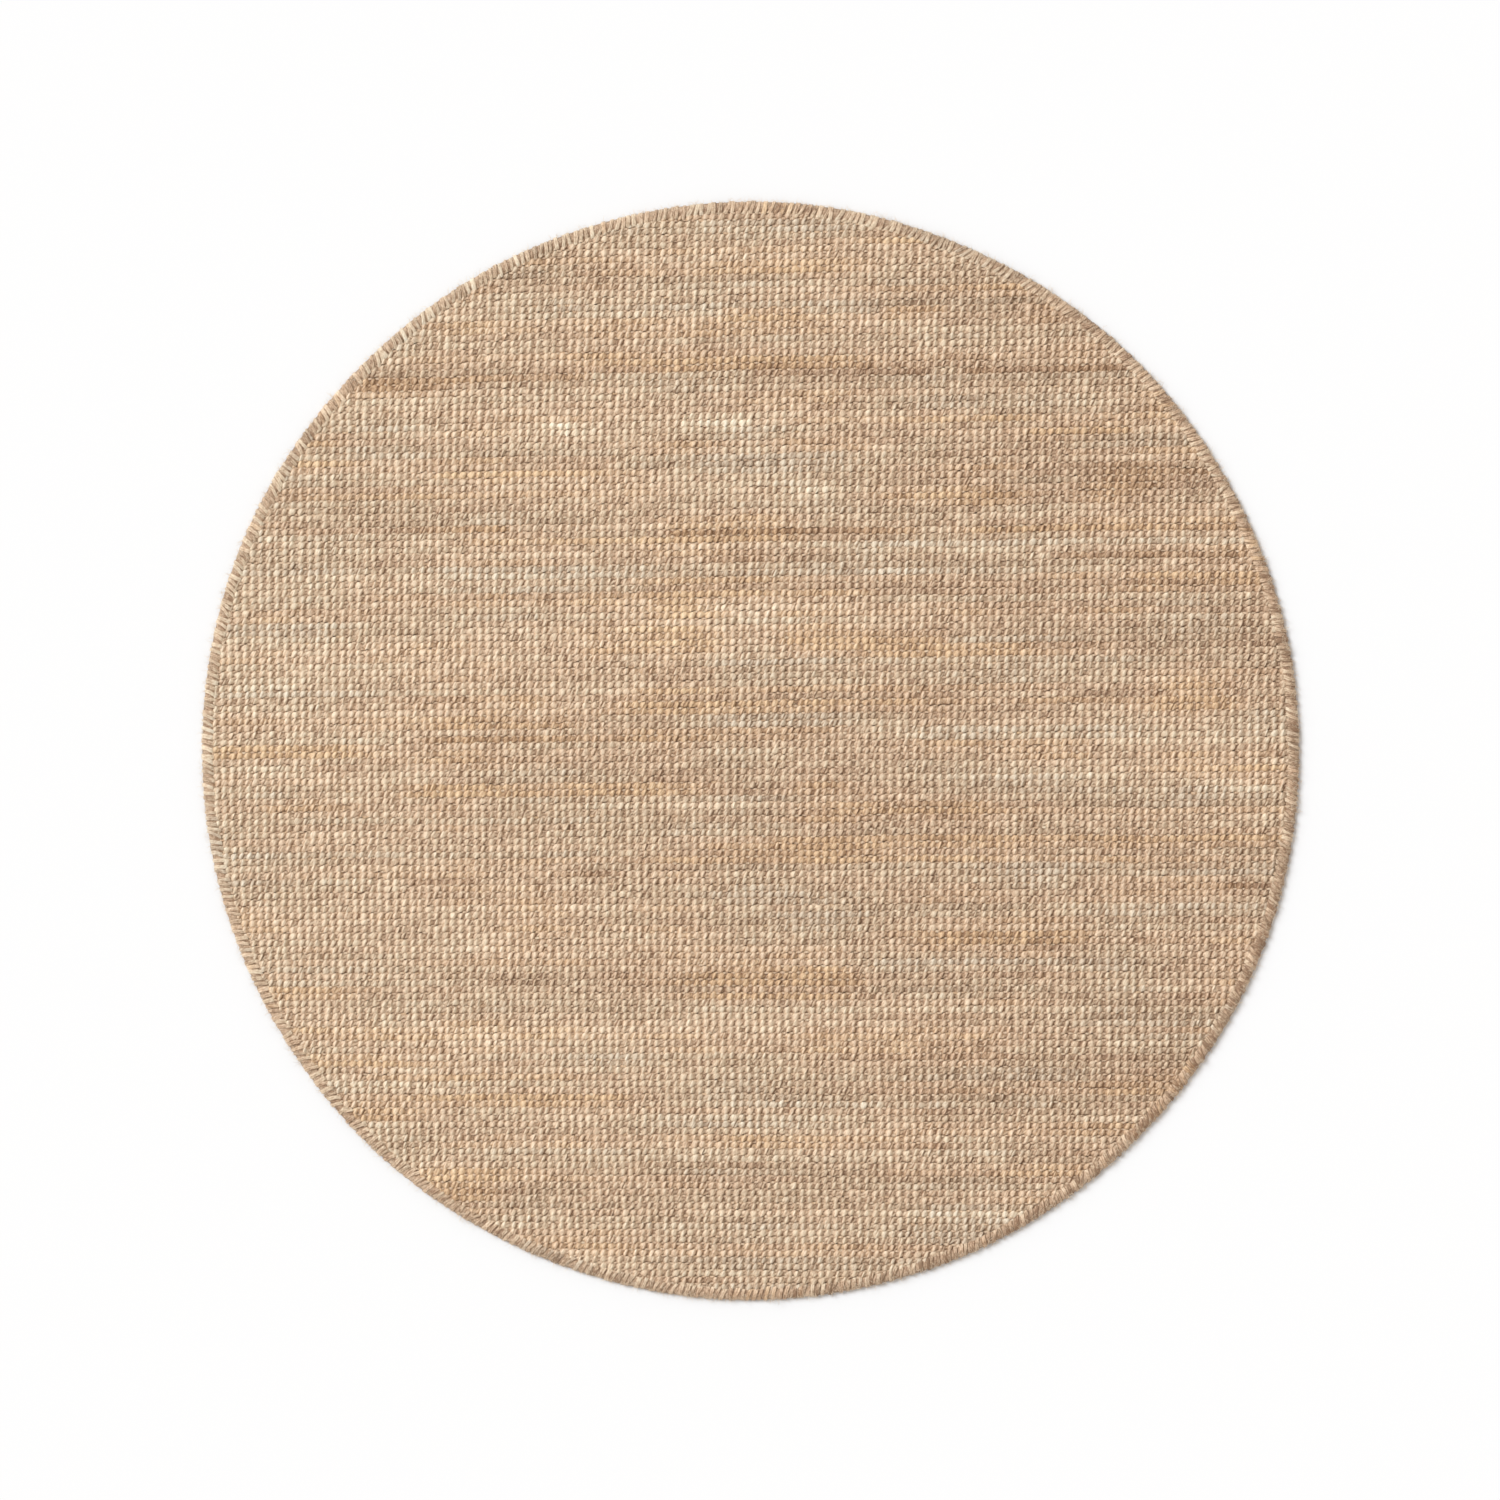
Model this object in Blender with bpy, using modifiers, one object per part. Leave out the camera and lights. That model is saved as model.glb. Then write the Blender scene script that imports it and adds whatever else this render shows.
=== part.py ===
"""Round jute rug, 1.5 m across: a ribbed woven field inside an overcast yarn edge.

Metres, +Z up. The origin is on the floor under the middle of the rug. The thick yarns of
the weave run along X, and their bumps line up in ribs that run along Y.
"""

import math

import bmesh
import bpy

# Whole rug
DIAMETER = 1.500
RADIUS = DIAMETER / 2
SEAM_GAP = 0.0003  # between the cloth and the yarn that wraps it

# Ribs: the lines of bumps on the upper face
RIB_PITCH = 0.0112
RIB_CREST = 0.0096  # height of the bumps above the floor
RIB_VALLEY = 0.0070  # height of the cloth between two ribs
CREST_WIDTH = 0.0066  # the flat top of a rib; its flanks take the rest of the pitch

# How the ribs drift on a hand loom. A rib's place on an even loom is its straight place.
RIB_SPREAD = 0.017  # the pitch widens towards +X: metres of drift a square metre
RIB_FAN = 0.019  # ribs at +X lean to +X at their far ends: metres a square metre
RIB_BOW = 0.024  # both ends of each rib bow to +X: metres a square metre
RIB_LEAN = -0.009  # all the ribs lean a little to -X: metres a metre
RIB_STATIONS = 5  # points along each rib

# The sheet that the round field is cut from, as a share of the rug
SHEET_SHARE = 1.06

# Overcast edge
BINDING_REACH = 0.016  # how far the yarn reaches in from the rim
BINDING_HEIGHT = 0.0100
BINDING_SHOULDER = 0.0090  # height of the yarn at its inner edge
WRAP_YARN = 0.0026  # thickness of the yarn above and below the pressed rim
RIM_YARN = 0.0060  # thickness of the yarn outside the pressed rim
TOP_ROUND = (0.0085, 0.0056)  # radial and upright half axes of the round above the rim
FOOT_ROUND = (0.0045, 0.0044)  # the same for the tighter round below it
ROUND_STEPS = 3  # straight runs in each quarter round

# The outline isn't a true circle. The counts are even, so that it keeps its middle.
RIM_STEPS = 120
RIM_WAVES = (
    # waves round the rug, height in metres, turn in radians
    (4, 0.0007, 0.6),
    (6, 0.0005, 2.1),
    (10, 0.0004, 4.0),
)

MERGE = 0.0001
SMOOTH_UNDER = math.radians(50)

FIELD_COLOUR = (0.57, 0.41, 0.27, 1.0)
BINDING_COLOUR = (0.50, 0.37, 0.23, 1.0)
JUTE_ROUGHNESS = 0.95


def material(name, colour):
    """A dull, fibrous surface of one colour."""
    made = bpy.data.materials.new(name)
    made.use_nodes = True
    shader = made.node_tree.nodes["Principled BSDF"]
    shader.inputs["Base Color"].default_value = colour
    shader.inputs["Roughness"].default_value = JUTE_ROUGHNESS
    shader.inputs["Metallic"].default_value = 0.0
    return made


def collection(name):
    made = bpy.data.collections.new(name)
    bpy.context.scene.collection.children.link(made)
    return made


def rim_offset(angle):
    """How far the rim stands outside a true circle at this angle."""
    return sum(
        height * math.cos(waves * angle + turn) for waves, height, turn in RIM_WAVES
    )


def turned(name, profile, into, closed):
    """A profile of (radius, height) points, top to bottom on its outer side, turned round Z."""
    points = [(radius, 0.0, height) for radius, height in profile]
    edges = [(start, start + 1) for start in range(len(points) - 1)]
    if closed:
        edges.append((len(points) - 1, 0))
    mesh = bpy.data.meshes.new(name)
    mesh.from_pydata(points, edges, [])
    made = bpy.data.objects.new(name, mesh)
    into.objects.link(made)
    screw = made.modifiers.new("turn", "SCREW")
    screw.steps = RIM_STEPS
    screw.render_steps = RIM_STEPS
    screw.use_merge_vertices = True
    screw.merge_threshold = MERGE
    return made


def wave_rim(turned_object):
    """Sets each point of a turned object out or in with the rim, and less nearer the middle."""
    depsgraph = bpy.context.evaluated_depsgraph_get()
    mesh = bpy.data.meshes.new_from_object(turned_object.evaluated_get(depsgraph))
    for vert in mesh.vertices:
        angle = math.atan2(vert.co.y, vert.co.x)
        grown = 1.0 + rim_offset(angle) / RADIUS
        vert.co.x *= grown
        vert.co.y *= grown
    turned_object.modifiers.clear()
    turned_object.data = mesh


def quarter_round(centre, axes, start, end):
    """Points of an ellipse from one angle to another, in degrees, both ends included."""
    points = []
    for step in range(ROUND_STEPS + 1):
        angle = math.radians(start + (end - start) * step / ROUND_STEPS)
        radius = centre[0] + axes[0] * math.cos(angle)
        height = centre[1] + axes[1] * math.sin(angle)
        points.append((radius, height))
    return points


def rib_place(straight, y):
    """Where a rib really passes y, from its straight place."""
    drift = RIB_SPREAD * straight * straight + RIB_FAN * straight * y
    return straight + drift + RIB_BOW * y * y + RIB_LEAN * y


def ribbed_sheet(name, into):
    """A thick sheet, larger than the rug, whose upper face carries the ribs."""
    half = RADIUS * SHEET_SHARE
    ribs_each_side = math.ceil(half / RIB_PITCH)
    lines = []  # straight place and height of each line that runs along the ribs
    for rib in range(-ribs_each_side, ribs_each_side + 1):
        middle = rib * RIB_PITCH
        lines.append((middle - CREST_WIDTH / 2, RIB_CREST))
        lines.append((middle + CREST_WIDTH / 2, RIB_CREST))
        lines.append((middle + RIB_PITCH / 2, RIB_VALLEY))

    last = len(lines) - 1
    bm = bmesh.new()
    bmesh.ops.create_grid(bm, x_segments=last, y_segments=RIB_STATIONS - 1, size=1.0)
    for vert in bm.verts:
        straight, height = lines[round((vert.co.x + 1.0) / 2.0 * last)]
        y = vert.co.y * half
        vert.co = (rib_place(straight, y), y, height)
    lower = bmesh.ops.extrude_face_region(bm, geom=bm.faces[:])["geom"]
    for vert in (item for item in lower if isinstance(item, bmesh.types.BMVert)):
        vert.co.z = -RIB_CREST
    bmesh.ops.recalc_face_normals(bm, faces=bm.faces)
    mesh = bpy.data.meshes.new(name)
    bm.to_mesh(mesh)
    bm.free()
    made = bpy.data.objects.new(name, mesh)
    into.objects.link(made)
    return made


def make_field(parts, cutters):
    """The woven cloth: the ribbed sheet cut round, its rim pressed thin inside the yarn."""
    edge = RADIUS - BINDING_REACH - SEAM_GAP
    pressed = RADIUS - RIM_YARN - SEAM_GAP
    under = WRAP_YARN + SEAM_GAP
    over = BINDING_SHOULDER - WRAP_YARN - SEAM_GAP
    above = 2 * RIB_CREST
    profile = [(0.0, above), (edge, above), (edge, over), (pressed, over)]
    profile += [(pressed, under), (edge, under), (edge, 0.0), (0.0, 0.0)]
    round_cut = turned("round_cut", profile, cutters, closed=False)
    wave_rim(round_cut)
    round_cut.hide_render = True
    round_cut.display_type = "WIRE"

    field = ribbed_sheet("field", parts)
    cut = field.modifiers.new("cut round", "BOOLEAN")
    cut.operation = "INTERSECT"
    cut.solver = "EXACT"
    cut.object = round_cut
    field.data.materials.append(material("woven jute", FIELD_COLOUR))


def make_binding(parts):
    """The overcast yarn: a ring with a C section, its mouth towards the middle of the rug."""
    inner = RADIUS - BINDING_REACH
    throat = RADIUS - RIM_YARN
    over = BINDING_SHOULDER - WRAP_YARN
    top_centre = (RADIUS - TOP_ROUND[0], BINDING_HEIGHT - TOP_ROUND[1])
    foot_centre = (RADIUS - FOOT_ROUND[0], FOOT_ROUND[1])
    profile = [(inner, over), (inner, BINDING_SHOULDER)]
    profile += quarter_round(top_centre, TOP_ROUND, 90, 0)
    profile += quarter_round(foot_centre, FOOT_ROUND, 0, -90)[1:]
    profile += [(inner, 0.0), (inner, WRAP_YARN), (throat, WRAP_YARN), (throat, over)]
    binding = turned("edge_binding", profile, parts, closed=True)
    wave_rim(binding)
    binding.data.shade_smooth()
    binding.data.set_sharp_from_angle(angle=SMOOTH_UNDER)
    binding.data.materials.append(material("overcast jute yarn", BINDING_COLOUR))


def main():
    for old in list(bpy.data.objects):
        bpy.data.objects.remove(old, do_unlink=True)
    parts = collection("round_jute_rug")
    cutters = collection("cutters")
    make_field(parts, cutters)
    make_binding(parts)


main()
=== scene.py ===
"""Round jute rug, 1.5 m across: the yarns of its weave, its overcast edge and their finish.

Metres, +Z up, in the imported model's frame. Thick soft yarns run along X and rise in bumps. Thin yarns
run between them, and cross yarns run along Y in the valleys between the ribs of bumps.

A spread is the standard deviation of a seeded random change. A shade darkens the jute where little
light gets in: it is about 0 on top of a bump, and 1 or more at the foot of a deep hollow.
"""

import math

import bmesh
import bpy
import numpy as np
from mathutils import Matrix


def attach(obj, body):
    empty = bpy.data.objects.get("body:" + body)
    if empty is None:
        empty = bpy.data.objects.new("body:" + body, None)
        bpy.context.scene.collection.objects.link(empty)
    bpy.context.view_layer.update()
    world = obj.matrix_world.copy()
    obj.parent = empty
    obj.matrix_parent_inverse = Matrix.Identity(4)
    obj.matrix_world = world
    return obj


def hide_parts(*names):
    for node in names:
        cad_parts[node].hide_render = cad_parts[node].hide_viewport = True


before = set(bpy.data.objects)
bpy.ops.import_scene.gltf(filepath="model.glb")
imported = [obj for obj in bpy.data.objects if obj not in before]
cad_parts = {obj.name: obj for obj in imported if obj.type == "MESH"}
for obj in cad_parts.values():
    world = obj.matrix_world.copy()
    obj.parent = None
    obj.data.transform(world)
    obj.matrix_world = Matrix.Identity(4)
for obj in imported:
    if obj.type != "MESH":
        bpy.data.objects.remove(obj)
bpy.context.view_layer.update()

SEED = 6750
BODY = "root"

# Rug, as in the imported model
RADIUS = 0.750
RIM_WAVES = ((4, 0.0007, 0.6), (6, 0.0005, 2.1), (10, 0.0004, 4.0))  # waves round, height, turn

# Ribs: lines of bumps along Y, and how they drift on a hand loom
RIB_PITCH = 0.0112
RIB_SPREAD = 0.017
RIB_FAN = 0.019
RIB_BOW = 0.024
RIB_LEAN = -0.009

# Rows: the thick yarns along X, and how they drift
ROW_PITCH = 0.00931
ROW_TILT = 0.0084
ROW_BOW = -0.0024
ROW_FAN = 0.0213
ROW_SPREAD = 0.0077

# Random bends of the weave: how long they are, and how far they go
BEND_CELL = 0.11
BEND_X = 0.0008
BEND_Y = 0.0007
RIB_BEND_CELL = 0.07
RIB_BEND = 0.00022
ROW_BEND_CELL = 0.09  # what a row's own bends change is named with its yarns
PLACE_ROUNDS = 4  # a crossing's x and y hang on each other, so they are worked out in rounds

# The field's layers
FIELD_END = 0.7425  # radius where the yarns end, under the overcast edge
GRID_MARGIN = 1.06  # the grid of crossings is this much larger, because it drifts
PRESS_START = 0.7315  # radius where the edge yarn begins to press the cloth
PRESS_END = 0.7365
PRESSED_TOP = 0.0068
UNDER_EDGE = 0.7335  # radius where the edge yarn begins under the cloth
CLOTH_TOP = 0.0046  # the flat cloth under the bumps
UNDER_GAP = 0.0026  # how far the hollows of the underside stand above the floor
CLOTH_SHADE = 1.2  # on its upper face
UNDER_SHADE = 0.9  # in the hollows of the underside
CLOTH_DYE = 0.6  # share of the yarns' tone and warmth that the cloth takes
CLOTH_SMOOTH_UNDER = math.radians(60)

# One bump of a thick yarn, ring by ring along it
BUMP_RINGS = (
    # share of the pitch, half width, foot, top, pull, share of the bump's own moves
    (0.00, 0.0030, 0.0044, 0.0055, 0.0, 0.0),
    (0.16, 0.0041, 0.0057, 0.0077, 0.8, 0.6),
    (0.34, 0.0049, 0.0076, 0.0096, 1.0, 1.0),
    (0.50, 0.0053, 0.0084, 0.0102, 0.0, 1.0),
    (0.66, 0.0049, 0.0076, 0.0096, -1.0, 1.0),
    (0.84, 0.0041, 0.0057, 0.0077, -0.8, 0.6),
)
YARN_ACROSS = (-1.0, -0.52, 0.52, 1.0)
YARN_RISE = (0.0, 0.94, 0.94, 0.0)
BUMP_NARROWING = 0.40  # how much shorter a bump is at its sides
PLY_LEAN = 0.46  # metres along the yarn for each metre across it
PLY_PITCH = 0.0072  # from one split between the plies to the next
TWIST = math.radians(61)  # lean of the plies and their fibres from the yarn's own direction

# How the bumps differ. Each is the spread over whole bumps, over their rings, or over the necks
# between them, or a slow change along the yarn.
WIDTH_ALONG = 0.02  # widths are shares
WIDTH_BUMP = 0.06
WIDTH_RING = 0.04
WIDTH_NECK = 0.15
WIDTH_RANGE = (0.6, 1.3)
WIDTH_ROWS = 300  # rows from where the noise is read for places to where it is read for widths
ASIDE_ALONG = 0.0001
ASIDE_BUMP = 0.0005
ASIDE_RING = 0.0002
ALONG_BUMP = 0.0006
ALONG_PULL = 0.0005  # makes a bump longer or shorter
RISE_BUMP = 0.0003
RISE_NECK = 0.0005
RISE_RING = 0.00015
RISE_TILT = 0.0005  # makes one end of a bump higher than the other
BUMP_TONE = 0.15

# Splits between the plies
SPLIT_DEPTH = 0.0016
SPLIT_WANDER = 0.35  # how far the splits stray, as a share of their pitch
SPLIT_SHARPNESS = 3
SPLIT_MEAN = 0.8
SPLIT_SPREAD = 0.6
SPLIT_MOST = 2.0
SPLIT_AT_SIDES = 0.4  # share of a split's depth that is left at the yarn's sides
SPLIT_SHADE = 0.55
FULL_SHADE_HEIGHT = 0.0040  # a thick yarn's shade fades from here
NO_SHADE_HEIGHT = 0.0100  # to here

# Cross yarns
CROSS_HALF = 0.0015
CROSS_OVER = 0.0062
CROSS_UNDER = 0.0045
CROSS_ROUND = 0.0016  # how far its sides lie below its middle
CROSS_ASIDE_SPREAD = 0.0002
CROSS_RISE_SPREAD = 0.0003
CROSS_WIDTH_SPREAD = 0.12  # as a share
CROSS_OVER_SHADE = 0.5
CROSS_UNDER_SHADE = 1.2
CROSS_SIDE_SHADE = 0.4
CROSS_TONE = 0.5
CROSS_WARMTH = (0.4, 0.5)  # mean, and how far it strays

# Thin yarns: one arch over each cross yarn
THIN_HALF = 0.0015
THIN_REACH = 0.0040  # from the top of an arch to its feet
THIN_TOP = 0.0082
THIN_FOOT = 0.0062
THIN_ROUND = 0.0013  # how far its sides lie below its middle
THIN_SHIFT = -0.0003  # how far it lies to -Y of the middle between two rows
THIN_ALONG = 0.0003  # slow change of that along the yarn
THIN_MOVE_SPREAD = 0.0003  # along, aside and for the arch's turn
THIN_RISE_SPREAD = 0.0009
THIN_WIDTH_SPREAD = 0.15  # as a share
THIN_NOISE_START = 7.3  # keeps its fibres unlike those of the thick yarns
THIN_FOOT_SHADE = 0.5
THIN_SIDE_SHADE = 0.3
THIN_TONE = 0.5
THIN_WARMTH = (0.5, 0.5)  # mean, spread

# The cord of pressed cloth and yarn inside the overcast edge
CORE_STEPS = 240
CORE_SIDES = 8
CORE_INWARD = 0.0092
CORE_HALF_WIDTH = 0.0074
CORE_HEIGHT = 0.0046
CORE_HALF_HEIGHT = 0.0035
CORE_TONE = 0.6
CORE_SHADE = 0.7
MERGE = 0.00001

# Overcast edge
STITCHES = 548
STITCH_LEAN = math.radians(17)
STITCH_REACH = 0.0158  # from a stitch's inner end to the rim
STITCH_HALF = 0.0030
STITCH_RISE = 0.0010
STITCH_LOWEST = 0.0002
STITCH_PATH = (
    # distance in from the rim, height, how far the lean has gone, shade (painted shade, and painted
    # light where it is below 0)
    (0.0170, 0.0066, 0.00, -0.4),
    (0.0150, 0.0083, 0.12, -0.25),
    (0.0115, 0.0090, 0.40, 0.0),
    (0.0070, 0.0088, 0.70, 0.3),
    (0.0030, 0.0073, 0.90, 0.0),
    (0.0012, 0.0048, 1.00, -0.3),
    (0.0030, 0.0022, 1.00, 0.0),
    (0.0070, 0.0012, 0.97, 0.0),
    (0.0150, 0.0011, 0.90, 0.0),
)
STITCH_RIM = 5  # number of the point of STITCH_PATH that lies farthest out
STITCH_PROFILE = (
    # place across, share of the rise, shade
    (-1.0, -0.2, 1.1),
    (-0.55, 0.80, 0.0),
    (0.0, 0.35, 0.5),
    (0.55, 0.85, 0.0),
    (1.0, -0.2, 1.1),
)
STITCH_TURN_SPREAD = 0.0010  # radians round the rug
STITCH_LENGTH_SPREAD = 0.06  # as a share
STITCH_INWARD_SPREAD = 0.0003
STITCH_LEAN_SPREAD = 0.14  # radians
STITCH_RISE_SPREAD = 0.3  # as a share
STITCH_WIDTH_SPREAD = 0.14  # as a share
STITCH_TONE_SPREAD = 0.9
STITCH_WARMTH = (-0.2, 0.6)  # mean, spread
EDGE_TWIST = math.radians(14)

# Slow changes of colour along the edge: metres of noise for each radian, and how far they go
EDGE_TONE_STEP = 0.4
EDGE_TONE = 0.6
EDGE_WARMTH_STEP = 2.5
EDGE_WARMTH = 0.8

# Loose fibres
FIBRE_HALF = 0.00016
FIBRE_RINGS = (0.0, 0.5, 1.0)  # shares of a fibre's length
FIBRE_TAPER = (1.0, 0.9, 0.3)
FIBRE_BEND_SPREAD = 0.8  # radians
FIBRE_LOWEST = 0.0004
FIBRE_TONE = (0.3, 0.8)  # mean, spread
FIBRE_WARMTH_SPREAD = 0.5
RIM_FIBRES = 4500
RIM_FIBRE_INWARD = (0.0012, 0.0110)  # where they start, in from the rim
RIM_FIBRE_SEAT = 0.6  # share of the stitches' rise that they start at
RIM_FIBRE_TURN_SPREAD = 0.8  # radians from straight out
RIM_FIBRE_LENGTH = (0.004, 0.011)
RIM_FIBRE_SLOPE = (-0.3, 0.25)
FIELD_FIBRES = 1500
FIELD_FIBRE_END = 0.727  # radius
FIELD_FIBRE_HEIGHT = 0.0101
FIELD_FIBRE_LENGTH = (0.003, 0.010)
FIELD_FIBRE_RISE = (0.0, 0.0006, 0.0002)  # at each ring

# Colour of the jute. The dye, the tufts, the fibres and the shade add up to a place on two ramps.
TONE_STOPS = (
    (0.00, (0.250, 0.148, 0.086)),
    (0.25, (0.535, 0.378, 0.260)),
    (0.50, (0.730, 0.575, 0.425)),
    (0.75, (0.860, 0.730, 0.570)),
    (1.00, (0.940, 0.850, 0.710)),
)
TONE_MIDDLE = 0.5
TONE_OF_DYE = 0.11
TONE_OF_TUFTS = 0.56
TONE_OF_FIBRES = 0.25
TONE_OF_SHADE = -0.33
WARMTH_STOPS = (
    (0.00, (0.94, 0.975, 1.00)),
    (0.35, (0.97, 0.96, 0.92)),
    (0.65, (1.00, 0.94, 0.90)),
    (1.00, (1.00, 0.89, 0.74)),
)
WARMTH_MIDDLE = 0.43
WARMTH_OF_DYE = 0.22
WARMTH_OF_SHADE = 0.25

# Surface of the jute
NOISE_DETAIL = 2.0
NOISE_ROUGHNESS = 0.6
FIBRES_IN_TUFT = 3.5  # how much finer the fibres are than the tufts
YARN_STEP = 0.618  # from yarn to yarn
YARN_NOISE_STEP = 91.0  # how far apart two yarns one step apart lie in the noise
ROUGHNESS = 0.62
ROUGHNESS_OF_FIBRES = 0.08
SPECULAR = 0.5
SHEEN_ROUGHNESS = 0.5
SHEEN_TINT = (1.0, 0.93, 0.82, 1.0)
BUMP_DISTANCE = 0.0012
BUMP_OF_TUFTS = 0.7
BUMP_OF_FIBRES = 0.3
JUTES = (
    # name, half width of the yarn, width and length of a tuft, added tone, sheen, twist
    ("soft_jute", 0.0048, 0.0022, 0.0080, 0.02, 0.12, TWIST),
    ("twisted_jute", 0.0012, 0.0011, 0.0040, -0.06, 0.05, TWIST),
    ("backing_jute", 0.0046, 0.0022, 0.0060, -0.06, 0.05, TWIST),
    ("edge_jute", 0.0030, 0.0021, 0.0055, -0.11, 0.12, EDGE_TWIST),
    ("loose_jute", 0.0002, 0.0010, 0.0120, 0.0, 0.05, 0.0),
)

FADE = 0.9  # how much darker the jute gets towards +X: tone for each metre

# Yarns whose colour stands out from those beside them
STREAKS = (
    # from x, to x, y, tone, warmth
    (-0.66, -0.33, 0.299, -1.6, 1.9),
    (-0.11, 0.23, 0.301, -1.6, 1.9),
    (0.31, 0.68, 0.308, -1.7, 2.1),
    (-0.53, -0.22, 0.509, -1.6, 2.1),
    (0.00, 0.24, 0.513, -1.6, 2.1),
    (0.29, 0.51, 0.520, -1.3, 1.9),
    (-0.53, -0.41, 0.492, -1.2, 1.1),
    (-0.06, 0.12, 0.264, -1.2, 0.9),
    (0.19, 0.27, 0.264, -1.2, 0.9),
    (0.41, 0.68, 0.264, -1.3, 1.1),
    (-0.47, -0.29, 0.017, -1.0, 0.6),
    (0.18, 0.29, 0.072, -1.2, 0.4),
    (0.44, 0.56, 0.076, -1.2, 0.4),
    (-0.68, -0.60, -0.176, -1.3, 0.6),
    (-0.47, -0.37, -0.179, -1.3, 0.6),
    (-0.23, -0.17, -0.172, -1.3, 0.9),
    (0.65, 0.71, -0.183, -2.1, 0.9),
    (-0.36, -0.26, -0.313, -1.2, 0.6),
    (-0.42, -0.22, -0.600, -1.4, -0.8),
    (-0.04, 0.07, 0.599, -0.4, 2.8),
    (0.18, 0.27, 0.604, -0.4, 2.8),
    (0.05, 0.27, 0.154, -0.3, 2.8),
    (-0.25, -0.12, -0.054, -0.3, 2.8),
    (0.38, 0.52, 0.438, -0.3, 2.8),
    (-0.47, -0.21, 0.438, 1.2, -0.3),
    (-0.41, -0.32, 0.315, 1.2, -0.3),
    (0.00, 0.08, 0.468, 1.4, -0.2),
    (0.22, 0.31, 0.349, 1.3, -0.3),
    (0.05, 0.11, 0.356, 1.4, -0.3),
    (0.15, 0.22, 0.247, 1.3, -0.3),
    (0.11, 0.27, 0.584, 1.2, -0.2),
    (-0.61, -0.49, -0.125, 1.3, -0.3),
    (-0.22, 0.00, -0.074, 1.2, -0.3),
    (-0.42, -0.32, -0.275, 1.3, -0.3),
    (-0.52, -0.36, -0.439, 1.2, -0.3),
    (-0.41, -0.32, -0.402, 1.2, -0.3),
    (-0.72, -0.61, 0.087, 1.2, -0.2),
    (-0.72, -0.59, -0.026, 1.0, -0.6),
    (0.59, 0.71, -0.054, 1.2, -0.4),
    (0.50, 0.61, 0.397, 1.0, -0.3),
    (0.41, 0.50, 0.479, 1.2, -0.2),
    (-0.28, -0.24, 0.443, 3.2, -1.0),
    (-0.10, 0.00, 0.447, 2.4, -1.0),
)
TONE_COLUMN = 3
WARMTH_COLUMN = 4
STREAK_END = 0.010  # a streak fades in and out over twice this length
STREAK_REACH = 1.35  # rows from a streak's own yarn to where it has faded

# Pieces that each kind of yarn is joined into
THICK_BANDS = 8
CROSS_BANDS = 2
THIN_BANDS = 2
NO_BAND = -1

# Maps for baking
UV_HALF = 0.42  # half of the width that a strip takes in its own share of the map
UV_ENDS = (0.03, 0.97)
TILE_ASPECT = 4  # how many times as many tiles lie side by side as one above another

# Stage and light
FLOOR_HALF = 9.0
FLOOR_STEPS = 8
FLOOR_COLOUR = (0.764, 0.757, 0.768, 1.0)
SKY_COLOUR = (1.0, 0.95, 0.88, 1.0)
SKY_STRENGTH = 0.685
SUN_COLOUR = (0.90, 0.96, 1.0)
SUN_ENERGY = 3.06
SUN_SOFTNESS = math.radians(30)
SUN_TURN = (0.0, math.radians(-45), math.radians(-32))

# Photograph
IMAGE_SIZE = 1500
METRES_PER_PIXEL = 0.0013649
RUG_CENTRE_PIXEL = (750.57, 750.74)
LENS = 150.0
SENSOR = 36.0
SHARP_HEIGHT = 0.005  # where the photograph's scale holds, halfway up the rug
CLIP_END = 100.0


class Noise:
    """Smooth noise: random heights of unit spread on a lattice, eased between its points."""

    SIZE = 256

    def __init__(self, rng, cell_x, cell_y, weight=1.0):
        self.heights = rng.standard_normal((self.SIZE, self.SIZE))
        self.cell_x = cell_x
        self.cell_y = cell_y
        self.weight = weight

    def __call__(self, x, y):
        column, right = self.split(x / self.cell_x)
        row, up = self.split(y / self.cell_y)
        low = self.at(column, row) * (1 - right) + self.at(column + 1, row) * right
        high = self.at(column, row + 1) * (1 - right) + self.at(column + 1, row + 1) * right
        return low * (1 - up) + high * up

    def weighted(self, x, y):
        return self.weight * self(x, y)

    def split(self, place):
        whole = np.floor(place)
        share = place - whole
        return whole.astype(int), share * share * (3 - 2 * share)

    def at(self, column, row):
        return self.heights[row % self.SIZE, column % self.SIZE]


class Wander:
    """How the loom's even weave is drawn out of true, the same for every yarn."""

    def __init__(self, rng):
        self.wide_x = Noise(rng, BEND_CELL, BEND_CELL, weight=BEND_X)
        self.wide_y = Noise(rng, BEND_CELL, BEND_CELL, weight=BEND_Y)
        self.row = Noise(rng, ROW_BEND_CELL, 1)
        self.rib = Noise(rng, 1, RIB_BEND_CELL, weight=RIB_BEND)

    def place(self, rib, row):
        """Where a rib and a row cross. Both are counted from the middle, and may be parts."""
        straight_x = rib * RIB_PITCH
        straight_y = row * ROW_PITCH
        y = straight_y
        for _ in range(PLACE_ROUNDS):
            x = straight_x + RIB_SPREAD * straight_x**2 + RIB_FAN * straight_x * y + RIB_BOW * y**2
            x = x + RIB_LEAN * y
            y = straight_y + ROW_TILT * x + ROW_BOW * x**2 + ROW_FAN * x * straight_y
            y = y + ROW_SPREAD * straight_y**2
        moved_x = x + self.wide_x.weighted(x, y) + self.rib.weighted(np.round(rib), y)
        moved_y = y + self.wide_y.weighted(x, y)
        return moved_x, moved_y


def row_at(wander, x, y):
    """Number of the row that passes nearest to a point."""
    row = y / ROW_PITCH
    for _ in range(PLACE_ROUNDS):
        _, passed = wander.place(np.array(x / RIB_PITCH), np.array(row))
        row = row + (y - float(passed)) / ROW_PITCH
    return round(row)


def smoothstep(low, high, value):
    """0 below low, 1 above high, and eased between them."""
    share = np.clip((value - low) / (high - low), 0.0, 1.0)
    return share * share * (3 - 2 * share)


def columns_of(table):
    return (np.array(column) for column in zip(*table))


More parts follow.
